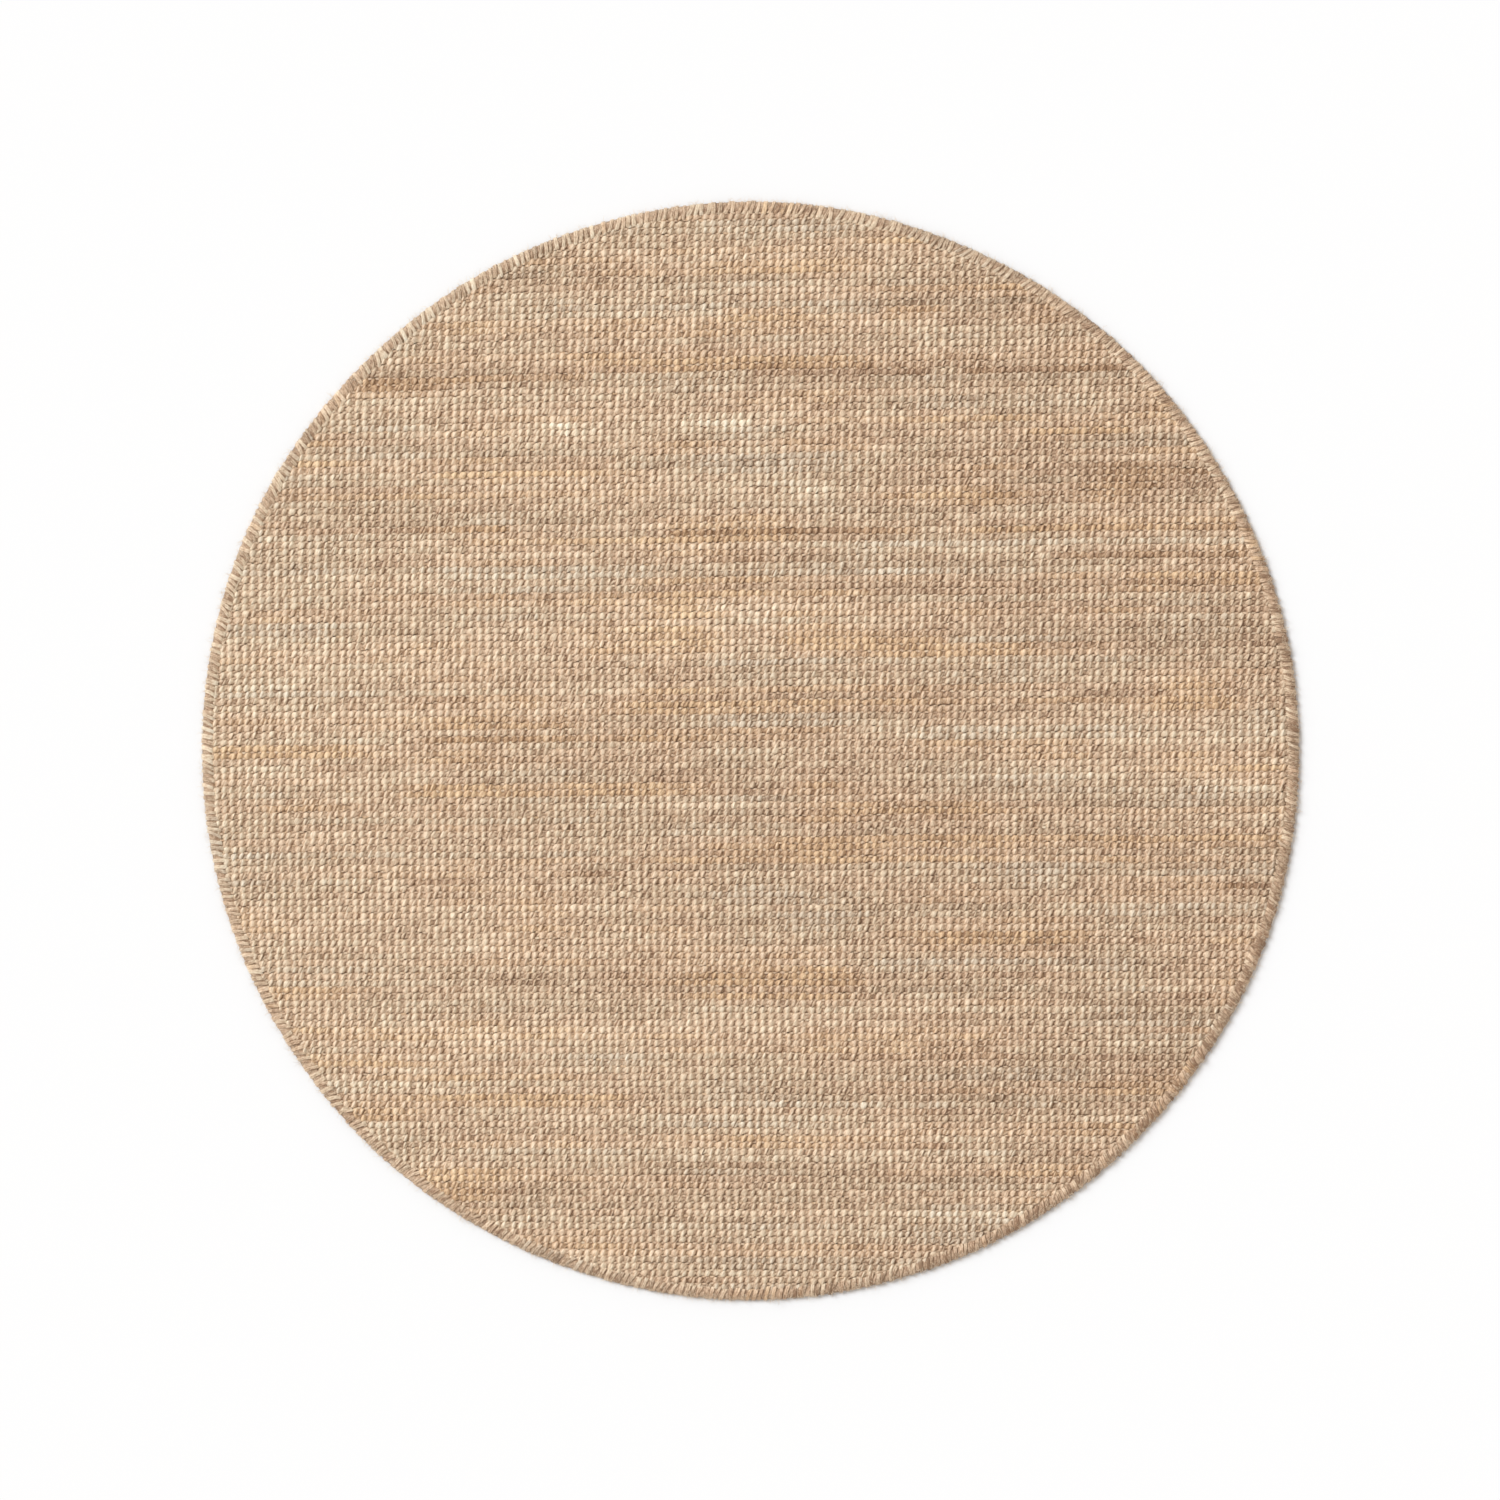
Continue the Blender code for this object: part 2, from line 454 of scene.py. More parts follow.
def rim_offset(angle):
    """How far the rim stands outside a true circle at this angle."""
    return sum(height * np.cos(waves * angle + turn) for waves, height, turn in RIM_WAVES)


def round_radius(x, y):
    """Radius of a point, with the rim's waves taken out."""
    radius = np.hypot(x, y)
    return radius / (1.0 + rim_offset(np.arctan2(y, x)) / RADIUS)


def add_object(name, data):
    made = bpy.data.objects.new(name, data)
    bpy.context.scene.collection.objects.link(made)
    return made


def set_layers(mesh, layers):
    """Stores named values for each point, which the jute finish reads."""
    for label, values in layers.items():
        layer = mesh.attributes.new(label, "FLOAT", "POINT")
        layer.data.foreach_set("value", values.astype(np.float32))


def set_map(mesh, uvs):
    layer = mesh.uv_layers.new(name="OFBake")
    layer.data.foreach_set("uv", uvs.astype(np.float32).ravel())


def strip_mesh(name, points, kept, layers, uvs):
    """One mesh of many strips of quads.

    points is (strips, rings, across, 3), kept says which rings are used, layers are values for each
    point and uvs gives (strips, rings, across, 2).
    """
    across = points.shape[2]
    used = np.repeat(kept[:, :, None], across, axis=2)
    number = np.cumsum(used.ravel()).reshape(used.shape) - 1
    pairs = kept[:, :-1] & kept[:, 1:]
    corners = [
        number[:, :-1, :-1][pairs],
        number[:, 1:, :-1][pairs],
        number[:, 1:, 1:][pairs],
        number[:, :-1, 1:][pairs],
    ]
    quads = np.stack([corner.ravel() for corner in corners], axis=1)
    mesh = bpy.data.meshes.new(name)
    mesh.from_pydata(points[used], [], quads)
    set_layers(mesh, {label: values[used] for label, values in layers.items()})
    set_map(mesh, uvs[used][quads.ravel()])
    mesh.shade_smooth()
    return add_object(name, mesh)


def top_uvs(points):
    """A map seen from above, which fills the square."""
    flat = points[..., :2]
    low = flat.reshape(-1, 2).min(axis=0)
    high = flat.reshape(-1, 2).max(axis=0)
    return (flat - low) / (high - low)


def strip_uvs(along, across):
    """Strips laid one above another: along is metres from the rug's middle, and across -1 to 1."""
    strips = len(along)
    row = np.arange(strips)[:, None, None]
    u = (along + RADIUS) / (2 * RADIUS)
    v = (row + 0.5 + UV_HALF * across) / strips
    return np.stack(np.broadcast_arrays(u, v), axis=-1)


def tile_uvs(strips, rings, across):
    """Upright strips laid side by side in lines."""
    columns = math.ceil(math.sqrt(strips * TILE_ASPECT))
    lines = math.ceil(strips / columns)
    number = np.arange(strips)[:, None, None]
    along = np.linspace(*UV_ENDS, rings)[None, :, None]
    u = (number % columns + 0.5 + UV_HALF * across) / columns
    v = (number // columns + along) / lines
    return np.stack(np.broadcast_arrays(u, v), axis=-1)


class Graph:
    """Short ways to add nodes to one material."""

    def __init__(self, name):
        self.material = bpy.data.materials.new(name)
        self.material.use_nodes = True
        self.tree = self.material.node_tree
        self.shader = self.tree.nodes["Principled BSDF"]

    def put(self, socket, value):
        """Links a socket to a value that is a socket itself, and sets it to any other value."""
        if isinstance(value, bpy.types.NodeSocket):
            self.tree.links.new(value, socket)
        else:
            socket.default_value = value

    def attribute(self, name):
        node = self.tree.nodes.new("ShaderNodeAttribute")
        node.attribute_name = name
        return node.outputs["Fac"]

    def math(self, operation, first, second):
        node = self.tree.nodes.new("ShaderNodeMath")
        node.operation = operation
        self.put(node.inputs[0], first)
        self.put(node.inputs[1], second)
        return node.outputs[0]

    def times(self, first, second):
        return self.math("MULTIPLY", first, second)

    def scaled(self, value, factor, offset):
        """The value times the factor, plus the offset."""
        result = self.math("MULTIPLY_ADD", value, factor)
        result.node.inputs[2].default_value = offset
        return result

    def add_up(self, *terms):
        total = terms[0]
        for term in terms[1:]:
            total = self.math("ADD", total, term)
        return total

    def vector(self, x, y, z):
        node = self.tree.nodes.new("ShaderNodeCombineXYZ")
        for socket, value in zip(node.inputs, (x, y, z)):
            self.put(socket, value)
        return node.outputs[0]

    def noise(self, vector, scale):
        """Noise between -1 and 1."""
        node = self.tree.nodes.new("ShaderNodeTexNoise")
        self.put(node.inputs["Vector"], vector)
        node.inputs["Scale"].default_value = scale
        node.inputs["Detail"].default_value = NOISE_DETAIL
        node.inputs["Roughness"].default_value = NOISE_ROUGHNESS
        return self.scaled(node.outputs["Fac"], 2.0, -1.0)

    def ramp(self, value, stops):
        node = self.tree.nodes.new("ShaderNodeValToRGB")
        elements = node.color_ramp.elements
        while len(elements) < len(stops):
            elements.new(0.5)
        for element, (position, colour) in zip(elements, stops):
            element.position = position
            element.color = (*colour, 1.0)
        self.put(node.inputs["Fac"], value)
        return node.outputs["Color"]

    def multiply(self, first, second):
        """One colour times another."""
        node = self.tree.nodes.new("ShaderNodeMix")
        node.data_type = "RGBA"
        node.blend_type = "MULTIPLY"
        node.inputs["Factor"].default_value = 1.0
        self.put(node.inputs["A"], first)
        self.put(node.inputs["B"], second)
        return node.outputs["Result"]

    def bump(self, height, distance):
        node = self.tree.nodes.new("ShaderNodeBump")
        node.inputs["Distance"].default_value = distance
        self.put(node.inputs["Height"], height)
        self.put(self.shader.inputs["Normal"], node.outputs["Normal"])


def jute(name, half_width, tuft_width, tuft_length, added_tone, sheen, twist):
    """Jute yarn. Its tone and warmth come from the mesh, and the fibres are drawn along it."""
    graph = Graph(name)
    along = graph.attribute("along")
    across = graph.times(graph.attribute("across"), half_width)
    beside_ply = graph.add_up(
        graph.times(along, math.sin(twist)), graph.times(across, -math.cos(twist))
    )
    with_ply = graph.add_up(
        graph.times(along, math.cos(twist)), graph.times(across, math.sin(twist))
    )
    place = graph.vector(
        graph.times(beside_ply, 1.0 / tuft_width),
        graph.times(with_ply, 1.0 / tuft_length),
        graph.times(graph.attribute("yarn"), YARN_NOISE_STEP),
    )
    tufts = graph.noise(place, 1.0)
    fibres = graph.noise(place, FIBRES_IN_TUFT)
    shade = graph.attribute("shade")
    tone = graph.add_up(
        graph.times(graph.attribute("tone"), TONE_OF_DYE),
        graph.times(tufts, TONE_OF_TUFTS),
        graph.times(fibres, TONE_OF_FIBRES),
        graph.times(shade, TONE_OF_SHADE),
        TONE_MIDDLE + added_tone,
    )
    warmth = graph.add_up(
        graph.times(graph.attribute("warmth"), WARMTH_OF_DYE),
        graph.times(shade, WARMTH_OF_SHADE),
        WARMTH_MIDDLE,
    )
    inputs = graph.shader.inputs
    colour = graph.multiply(graph.ramp(tone, TONE_STOPS), graph.ramp(warmth, WARMTH_STOPS))
    graph.put(inputs["Base Color"], colour)
    graph.put(inputs["Roughness"], graph.scaled(fibres, ROUGHNESS_OF_FIBRES, ROUGHNESS))
    inputs["Specular IOR Level"].default_value = SPECULAR
    inputs["Sheen Weight"].default_value = sheen
    inputs["Sheen Roughness"].default_value = SHEEN_ROUGHNESS
    inputs["Sheen Tint"].default_value = SHEEN_TINT
    height = graph.add_up(
        graph.times(tufts, BUMP_OF_TUFTS), graph.times(fibres, BUMP_OF_FIBRES)
    )
    graph.bump(height, BUMP_DISTANCE)
    return graph.material


def finish_piece(piece, material, node):
    piece.data.materials.append(material)
    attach(piece, BODY)
    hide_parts(node)


def even_bands(place, half_count, bands):
    """Number of the band that each place falls in, where places run from -half_count to half_count."""
    return np.floor((place + half_count) / (2 * half_count) * bands)


def make_bands(name, band_of, points, kept, layers, map_band, material):
    """One piece of the field for each band of strips. map_band gives the map for a band's points."""
    made = []
    for band in range(int(band_of.max()) + 1):
        chosen = band_of == band
        part = points[chosen]
        picked = {label: values[chosen] for label, values in layers.items()}
        piece = strip_mesh(f"{name}_{band + 1}", part, kept[chosen], picked, map_band(part))
        finish_piece(piece, material, "field")
        made.append(piece)
    return made


class Dye:
    """Tone and warmth of the jute over the rug: long streaks along the yarns."""

    def __init__(self, rng, wander):
        self.streaks = []
        for low, high, y, tone, warmth in STREAKS:
            number = row_at(wander, (low + high) / 2, y)
            self.streaks.append((low, high, number, tone, warmth))
        # Cells are in metres, or in rows where the second one is 1
        self.wide = Noise(rng, 0.90, 0.13, weight=0.25)
        self.cloud = Noise(rng, 0.55, 0.032, weight=0.37)
        self.long = Noise(rng, 0.28, 1, weight=0.4)
        self.short = Noise(rng, 0.045, 1, weight=0.25)
        self.warm_long = Noise(rng, 0.32, 1, weight=0.62)
        self.warm_pair = Noise(rng, 0.32, 1, weight=0.85)
        self.warm_short = Noise(rng, 0.05, 1, weight=0.35)
        self.warm_cloud = Noise(rng, 0.10, 0.06, weight=0.6)

    def streaked(self, x, row, column):
        """What the streaks add, to the tone or to the warmth."""
        total = 0.0 * x
        for streak in self.streaks:
            low, high, number = streak[:3]
            starts = smoothstep(low - STREAK_END, low + STREAK_END, x)
            ends = 1.0 - smoothstep(high - STREAK_END, high + STREAK_END, x)
            near = np.maximum(0.0, 1.0 - np.abs(row - number) / STREAK_REACH)
            total = total + streak[column] * near * starts * ends
        return total

    def tone(self, x, y, row):
        drift = self.cloud.weighted(x, y) + self.long.weighted(x, row) + self.short.weighted(x, row)
        drift = drift + self.wide.weighted(x, y)
        return drift + self.streaked(x, row, TONE_COLUMN) - FADE * x

    def warmth(self, x, y, row):
        pair = np.floor(row / 2)
        drift = self.warm_pair.weighted(x, pair) + self.warm_long.weighted(x, row)
        drift = drift + self.warm_short.weighted(x, row) + self.warm_cloud.weighted(x, y)
        return drift + self.streaked(x, row, WARMTH_COLUMN)


def pressed(x, y, height):
    """Height of the cloth's upper layers, which the edge yarn presses down near the rim."""
    press = smoothstep(PRESS_START, PRESS_END, round_radius(x, y))
    return height + (np.minimum(height, PRESSED_TOP) - height) * press


def grid_counts():
    """How many ribs and rows there are on each side of the middle."""
    ribs = math.ceil(FIELD_END * GRID_MARGIN / RIB_PITCH)
    rows = math.ceil(FIELD_END * GRID_MARGIN / ROW_PITCH)
    return ribs, rows


def thick_yarn_rings(wander, dye, rng, row, rib):
    """Place, width, lift and split of each ring of the thick yarns, as (rows, ribs, rings)."""
    share, _, _, _, pull, own = columns_of(BUMP_RINGS)
    neck = own == 0
    spread = (row.size, rib.size)

    def drawn(size):
        return size * rng.standard_normal(spread)[:, :, None]

    def drawn_rings(size):
        return size * rng.standard_normal((*spread, share.size))

    x, y = wander.place(rib - 0.5 + share, row + 0.0)
    width = 1.0 + WIDTH_ALONG * wander.row(x, row + WIDTH_ROWS)
    width = width + drawn(WIDTH_BUMP) * own + drawn_rings(WIDTH_RING)
    width = np.clip(width + drawn(WIDTH_NECK) * neck, *WIDTH_RANGE)
    y = y + ASIDE_ALONG * wander.row(x, row) + drawn(ASIDE_BUMP) * own + drawn_rings(ASIDE_RING)
    x = x + drawn(ALONG_BUMP) * own - drawn(ALONG_PULL) * pull
    lift = drawn(RISE_BUMP) * own + drawn(RISE_NECK) * neck + drawn_rings(RISE_RING)
    lift = lift + drawn(RISE_TILT) * pull

    yarn_start = rng.uniform(0.0, 1.0, row.size)[:, None, None]
    phase = x / PLY_PITCH + yarn_start + SPLIT_WANDER * dye.short(x, row)
    split = np.maximum(0.0, np.cos(2 * math.pi * phase)) ** SPLIT_SHARPNESS
    split = split * np.clip(SPLIT_MEAN + drawn_rings(SPLIT_SPREAD), 0.0, SPLIT_MOST)
    return x, y, width, lift, split


def make_thick_yarns(wander, dye, material):
    """The soft yarns along X. Each is one strip that rises in a bump at every rib."""
    ribs, rows = grid_counts()
    row = np.arange(-rows, rows + 1)[:, None, None]
    rib = np.arange(-ribs, ribs + 1)[None, :, None]
    share, half, foot, top, _, _ = columns_of(BUMP_RINGS)
    rng = np.random.default_rng(SEED + 1)
    place_x, place_y, width, lift, split = thick_yarn_rings(wander, dye, rng, row, rib)

    def in_line(values):
        """The rings of each whole yarn in one line, with an axis for the points across it."""
        wide = np.broadcast_to(values, (row.size, rib.size, share.size))
        return wide.reshape(row.size, -1)[:, :, None]

    across = np.array(YARN_ACROSS)
    level = np.array(YARN_RISE)
    middle_x, middle_y = in_line(place_x), in_line(place_y)
    offset = in_line(half * width) * across
    x = middle_x + PLY_LEAN * offset
    y = middle_y + offset
    along = in_line(share) + PLY_LEAN * offset / RIB_PITCH
    narrowed = 0.5 + (np.mod(along, 1.0) - 0.5) * (1 + BUMP_NARROWING * np.abs(across))
    narrowed = np.clip(narrowed, 0.0, 1.0)
    foot_at = np.interp(narrowed, (*share, 1.0), (*foot, foot[0]))
    top_at = np.interp(narrowed, (*share, 1.0), (*top, top[0]))
    z = foot_at + (top_at - foot_at) * level + in_line(lift)
    z = z - SPLIT_DEPTH * in_line(split) * (SPLIT_AT_SIDES + (1 - SPLIT_AT_SIDES) * level)
    shade = 1.0 - smoothstep(FULL_SHADE_HEIGHT, NO_SHADE_HEIGHT, z)
    shade = shade + SPLIT_SHADE * in_line(split)
    points = np.stack([x, y, pressed(x, y, z)], axis=-1)
    zero = 0 * x
    bump_tone = BUMP_TONE * rng.standard_normal((row.size, rib.size))[:, :, None]
    layers = {
        "along": x,
        "across": across + zero,
        "yarn": row * YARN_STEP + zero,
        "tone": dye.tone(x, y, row + zero) + in_line(bump_tone),
        "warmth": dye.warmth(x, y, row + zero),
        "shade": shade,
    }
    kept = round_radius(middle_x, middle_y)[:, :, 0] < FIELD_END
    rings_so_far = np.cumsum(kept.sum(axis=1))
    band_of = np.minimum((rings_so_far - 1) * THICK_BANDS // rings_so_far[-1], THICK_BANDS - 1)
    band_of = np.where(kept.any(axis=1), band_of, NO_BAND)

    def map_band(part):
        return strip_uvs(part[..., 0], across)

    return make_bands("thick_yarns", band_of, points, kept, layers, map_band, material)


def make_cross_yarns(wander, dye, material):
    """The yarns along Y, which go over and under in the valleys between the ribs."""
    ribs, rows = grid_counts()
    rib = np.arange(-ribs, ribs)[:, None] + 0.5
    row = np.arange(-2 * rows, 2 * rows + 1)[None, :] * 0.5
    over = (np.arange(row.size) % 2 == 0)[None, :]
    rng = np.random.default_rng(SEED + 2)
    middle_x, middle_y = wander.place(rib, row)

    def drawn(size):
        return size * rng.standard_normal(middle_x.shape)

    middle_x = middle_x + drawn(CROSS_ASIDE_SPREAD)
    height = np.where(over, CROSS_OVER, CROSS_UNDER) + drawn(CROSS_RISE_SPREAD)
    half = CROSS_HALF * (1 + drawn(CROSS_WIDTH_SPREAD))
    across = np.array([1.0, 0.0, -1.0])
    x = middle_x[:, :, None] + half[:, :, None] * across
    zero = 0 * x
    y = middle_y[:, :, None] + zero
    z = pressed(x, y, height[:, :, None] - CROSS_ROUND * across**2)
    points = np.stack([x, y, z], axis=-1)
    kept = round_radius(middle_x, middle_y) < FIELD_END
    yarn = rib[:, :, None] + zero
    mean_warmth, warmth_reach = CROSS_WARMTH
    over_shade = np.where(over, CROSS_OVER_SHADE, CROSS_UNDER_SHADE)[:, :, None]
    layers = {
        "along": y,
        "across": across + zero,
        "yarn": rib[:, :, None] * YARN_STEP + zero,
        "tone": CROSS_TONE * dye.short(y, yarn),
        "warmth": mean_warmth + warmth_reach * dye.warm_short(y, yarn),
        "shade": CROSS_SIDE_SHADE * (across != 0) + over_shade + zero,
    }
    band_of = np.where(kept.any(axis=1), even_bands(rib[:, 0], ribs, CROSS_BANDS), NO_BAND)

    def map_band(part):
        return strip_uvs(part[..., 1], across)

    return make_bands("cross_yarns", band_of, points, kept, layers, map_band, material)


def make_thin_yarns(wander, material):
    """The hard-twisted yarns between the thick ones, where they arch over the cross yarns."""
    ribs, rows = grid_counts()
    rib, row = np.meshgrid(np.arange(-ribs, ribs) + 0.5, np.arange(-rows, rows) + 0.5)
    x, y = wander.place(rib, row)
    y = y + THIN_SHIFT + THIN_ALONG * wander.row(x, np.floor(row))
    inside = round_radius(x, y) < PRESS_END
    x, y, row = (values[inside][:, None, None] for values in (x, y, row))
    rng = np.random.default_rng(SEED + 3)

    def drawn(size):
        return size * rng.standard_normal(x.shape)

    along = np.array([-1.0, 0.0, 1.0])[None, :, None]
    arch = np.array([0.0, 1.0, 0.0])[None, :, None]
    across = np.array([-1.0, 0.0, 1.0])[None, None, :]
    half = THIN_HALF * (1 + drawn(THIN_WIDTH_SPREAD))
    point_x = x + drawn(THIN_MOVE_SPREAD) + THIN_REACH * along + 0 * across
    point_y = y + drawn(THIN_MOVE_SPREAD) + half * across + drawn(THIN_MOVE_SPREAD) * along
    rise = THIN_TOP + drawn(THIN_RISE_SPREAD) - THIN_FOOT
    point_z = pressed(point_x, point_y, THIN_FOOT + rise * arch - THIN_ROUND * across**2)
    points = np.stack(np.broadcast_arrays(point_x, point_y, point_z), axis=-1)
    zero = 0 * points[..., 0]
    mean_warmth, warmth_spread = THIN_WARMTH
    layers = {
        "along": points[..., 0],
        "across": across + zero,
        "yarn": row * YARN_STEP + THIN_NOISE_START + zero,
        "tone": drawn(THIN_TONE) + zero,
        "warmth": mean_warmth + drawn(warmth_spread) + zero,
        "shade": (1 - arch) * THIN_FOOT_SHADE + THIN_SIDE_SHADE * across**2 + zero,
    }
    kept = np.ones(points.shape[:2], dtype=bool)
    band_of = even_bands(row[:, 0, 0], rows, THIN_BANDS)
    return make_bands("thin_yarns", band_of, points, kept, layers, top_uvs, material)


def cloth_layers(mesh, dye):
    """The values and the map that the jute finish needs, for a mesh that isn't made of strips."""
    count = len(mesh.vertices)
    flat = np.empty(count * 3)
    mesh.vertices.foreach_get("co", flat)
    x, y, z = flat.reshape(count, 3).T
    row = np.round(y / ROW_PITCH)
    upper = z > (CLOTH_TOP + UNDER_GAP) / 2
    layers = {
        "along": x,
        "across": y / ROW_PITCH * 2,
        "yarn": row * 0,
        "tone": dye.tone(x, y, row) * CLOTH_DYE,
        "warmth": dye.warmth(x, y, row) * CLOTH_DYE,
        "shade": np.where(upper, CLOTH_SHADE, UNDER_SHADE * z / UNDER_GAP),
    }
    set_layers(mesh, layers)
    loops = np.empty(len(mesh.loops), dtype=int)
    mesh.loops.foreach_get("vertex_index", loops)
    set_map(mesh, (np.stack([x, y], axis=1) / (2 * RADIUS) + 0.5)[loops])


def add_underside(bm, wander):
    """The lower face of the cloth: a low bump at each dip of a yarn, and a hollow between four."""
    ribs, rows = grid_counts()
    columns, lines = 2 * ribs, 2 * rows + 1
    rib, row = np.meshgrid(np.arange(-ribs, ribs) + 0.5, np.arange(-rows, rows + 1.0))
    x, y = wander.place(rib.ravel(), row.ravel())
    bumps = [bm.verts.new((px, py, 0.0)) for px, py in zip(x, y)]
    for line in range(lines - 1):
        for column in range(columns - 1):
            first = line * columns + column
            above = first + columns
            corners = [bumps[first], bumps[first + 1], bumps[above + 1], bumps[above]]
            middle_x = sum(corner.co.x for corner in corners) / 4
            middle_y = sum(corner.co.y for corner in corners) / 4
            if round_radius(middle_x, middle_y) > FIELD_END:
                continue
            middle = bm.verts.new((middle_x, middle_y, UNDER_GAP))
            for step in range(4):
                bm.faces.new((middle, corners[(step + 1) % 4], corners[step]))
    loose = [vert for vert in bm.verts if not vert.link_faces]
    bmesh.ops.delete(bm, geom=loose, context="VERTS")


def close_cloth(bm):
    """Adds a low wall along the rim and a flat face on top, in an order that is the same each run."""
    rim = [edge for edge in bm.edges if edge.is_boundary]
    raised = {}
    for vert in (vert for edge in rim for vert in edge.verts):
        if vert not in raised:
            raised[vert] = bm.verts.new((vert.co.x, vert.co.y, CLOTH_TOP))
    for edge in rim:
        below = edge.link_loops[0]
        first, second = below.link_loop_next.vert, below.vert
        bm.faces.new((first, second, raised[second], raised[first]))
    ring = [edge for edge in bm.edges if edge.is_boundary]
    bmesh.ops.holes_fill(bm, edges=ring, sides=0)


def make_backing(wander, dye, material):
    """The cloth below the bumps. Its underside has the bumps of the yarns that dip there."""
    bm = bmesh.new()
    add_underside(bm, wander)
    for vert in bm.verts:
        radius = round_radius(vert.co.x, vert.co.y)
        if radius > FIELD_END:
            vert.co.x *= FIELD_END / radius
            vert.co.y *= FIELD_END / radius
        if radius > UNDER_EDGE:
            vert.co.z = UNDER_GAP
    close_cloth(bm)
    bmesh.ops.recalc_face_normals(bm, faces=bm.faces)
    mesh = bpy.data.meshes.new("backing")
    bm.to_mesh(mesh)
    bm.free()
    mesh.shade_smooth()
    mesh.set_sharp_from_angle(angle=CLOTH_SMOOTH_UNDER)
    cloth_layers(mesh, dye)
    piece = add_object("backing", mesh)
    finish_piece(piece, material, "field")
    return piece


def make_rim_core(dye, material):
    """The pressed edge of the cloth and the yarn laid along it, inside the stitches."""
    angle = (np.arange(CORE_STEPS + 1) * 2 * math.pi / CORE_STEPS)[:, None]
    turn = (np.arange(CORE_SIDES + 1) * 2 * math.pi / CORE_SIDES)[None, :]
    grown = 1.0 + rim_offset(angle) / RADIUS
    radius = (RADIUS - CORE_INWARD + CORE_HALF_WIDTH * np.cos(turn)) * grown
    height = CORE_HEIGHT + CORE_HALF_HEIGHT * np.sin(turn) + 0 * radius
    points = np.stack([radius * np.cos(angle), radius * np.sin(angle), height], axis=-1)[None, ...]
    zero = 0 * points[..., 0]
    layers = {
        "along": zero + angle * RADIUS,
        "across": zero + turn,
        "yarn": zero,
        "tone": zero + CORE_TONE * dye.short(angle * RADIUS, 0 * angle),
        "warmth": zero,
        "shade": zero + CORE_SHADE,
    }
    kept = np.ones(points.shape[:2], dtype=bool)
    piece = strip_mesh("rim_core", points, kept, layers, top_uvs(points))
    bm = bmesh.new()
    bm.from_mesh(piece.data)
    bmesh.ops.remove_doubles(bm, verts=bm.verts, dist=MERGE)
    bmesh.ops.recalc_face_normals(bm, faces=bm.faces)
    bm.to_mesh(piece.data)
    bm.free()
    finish_piece(piece, material, "field")
    return piece


def make_stitches(dye, material):
    """The overcast yarn: one strip for each turn, over the rim and back under the cloth."""
    rng = np.random.default_rng(SEED + 4)
    path_inward, path_height, path_lean, path_shade = columns_of(STITCH_PATH)
    across, profile, side_shade = columns_of(STITCH_PROFILE)
    number = np.arange(STITCHES)[:, None, None]

    def drawn(size):
        return size * rng.standard_normal((STITCHES, 1, 1))

    start = number * 2 * math.pi / STITCHES + drawn(STITCH_TURN_SPREAD)
    inward = path_inward[:, None] * (1 + drawn(STITCH_LENGTH_SPREAD)) + drawn(STITCH_INWARD_SPREAD)
    height = path_height[None, :, None]
    path_radius = (RADIUS - inward) * (1.0 + rim_offset(start) / RADIUS)
    lean_length = STITCH_REACH * np.tan(STITCH_LEAN + drawn(STITCH_LEAN_SPREAD))
    angle = start - path_lean[:, None] * lean_length / RADIUS
    rise = STITCH_RISE * profile * (1 + drawn(STITCH_RISE_SPREAD))
    half = STITCH_HALF * (1 + drawn(STITCH_WIDTH_SPREAD))

    step_radius = np.gradient(path_radius, axis=1)
    step_height = np.gradient(height + 0 * path_radius, axis=1)
    length = np.hypot(step_radius, step_height)
    radius = path_radius + rise * (-step_height / length)
    zero = 0 * radius
    point_angle = angle + half * across / RADIUS + zero
    x = radius * np.cos(point_angle)
    y = radius * np.sin(point_angle)
    z = np.maximum(height + rise * (step_radius / length), STITCH_LOWEST)
    points = np.stack([x, y, z], axis=-1)

    mean_warmth, warmth_spread = STITCH_WARMTH
    slow_tone = EDGE_TONE * dye.cloud(start * EDGE_TONE_STEP, start * 0)
    tone = drawn(STITCH_TONE_SPREAD) + slow_tone - FADE * RADIUS * np.cos(start)
    slow_warmth = EDGE_WARMTH * dye.warm_long(start * EDGE_WARMTH_STEP, start * 0)
    layers = {
        "along": np.cumsum(length, axis=1) + zero,
        "across": across + zero,
        "yarn": number * YARN_STEP + zero,
        "tone": tone + zero,
        "warmth": drawn(warmth_spread) + mean_warmth + slow_warmth + zero,
        # painted shade along each stitch, and painted light where the path's shade is below 0
        "shade": zero + side_shade + path_shade[:, None],
    }
    uvs = tile_uvs(STITCHES, len(STITCH_PATH), across)
    kept = np.ones(points.shape[:2], dtype=bool)
    piece = strip_mesh("overcast_stitches", points, kept, layers, uvs)
    finish_piece(piece, material, "edge_binding")
    return piece


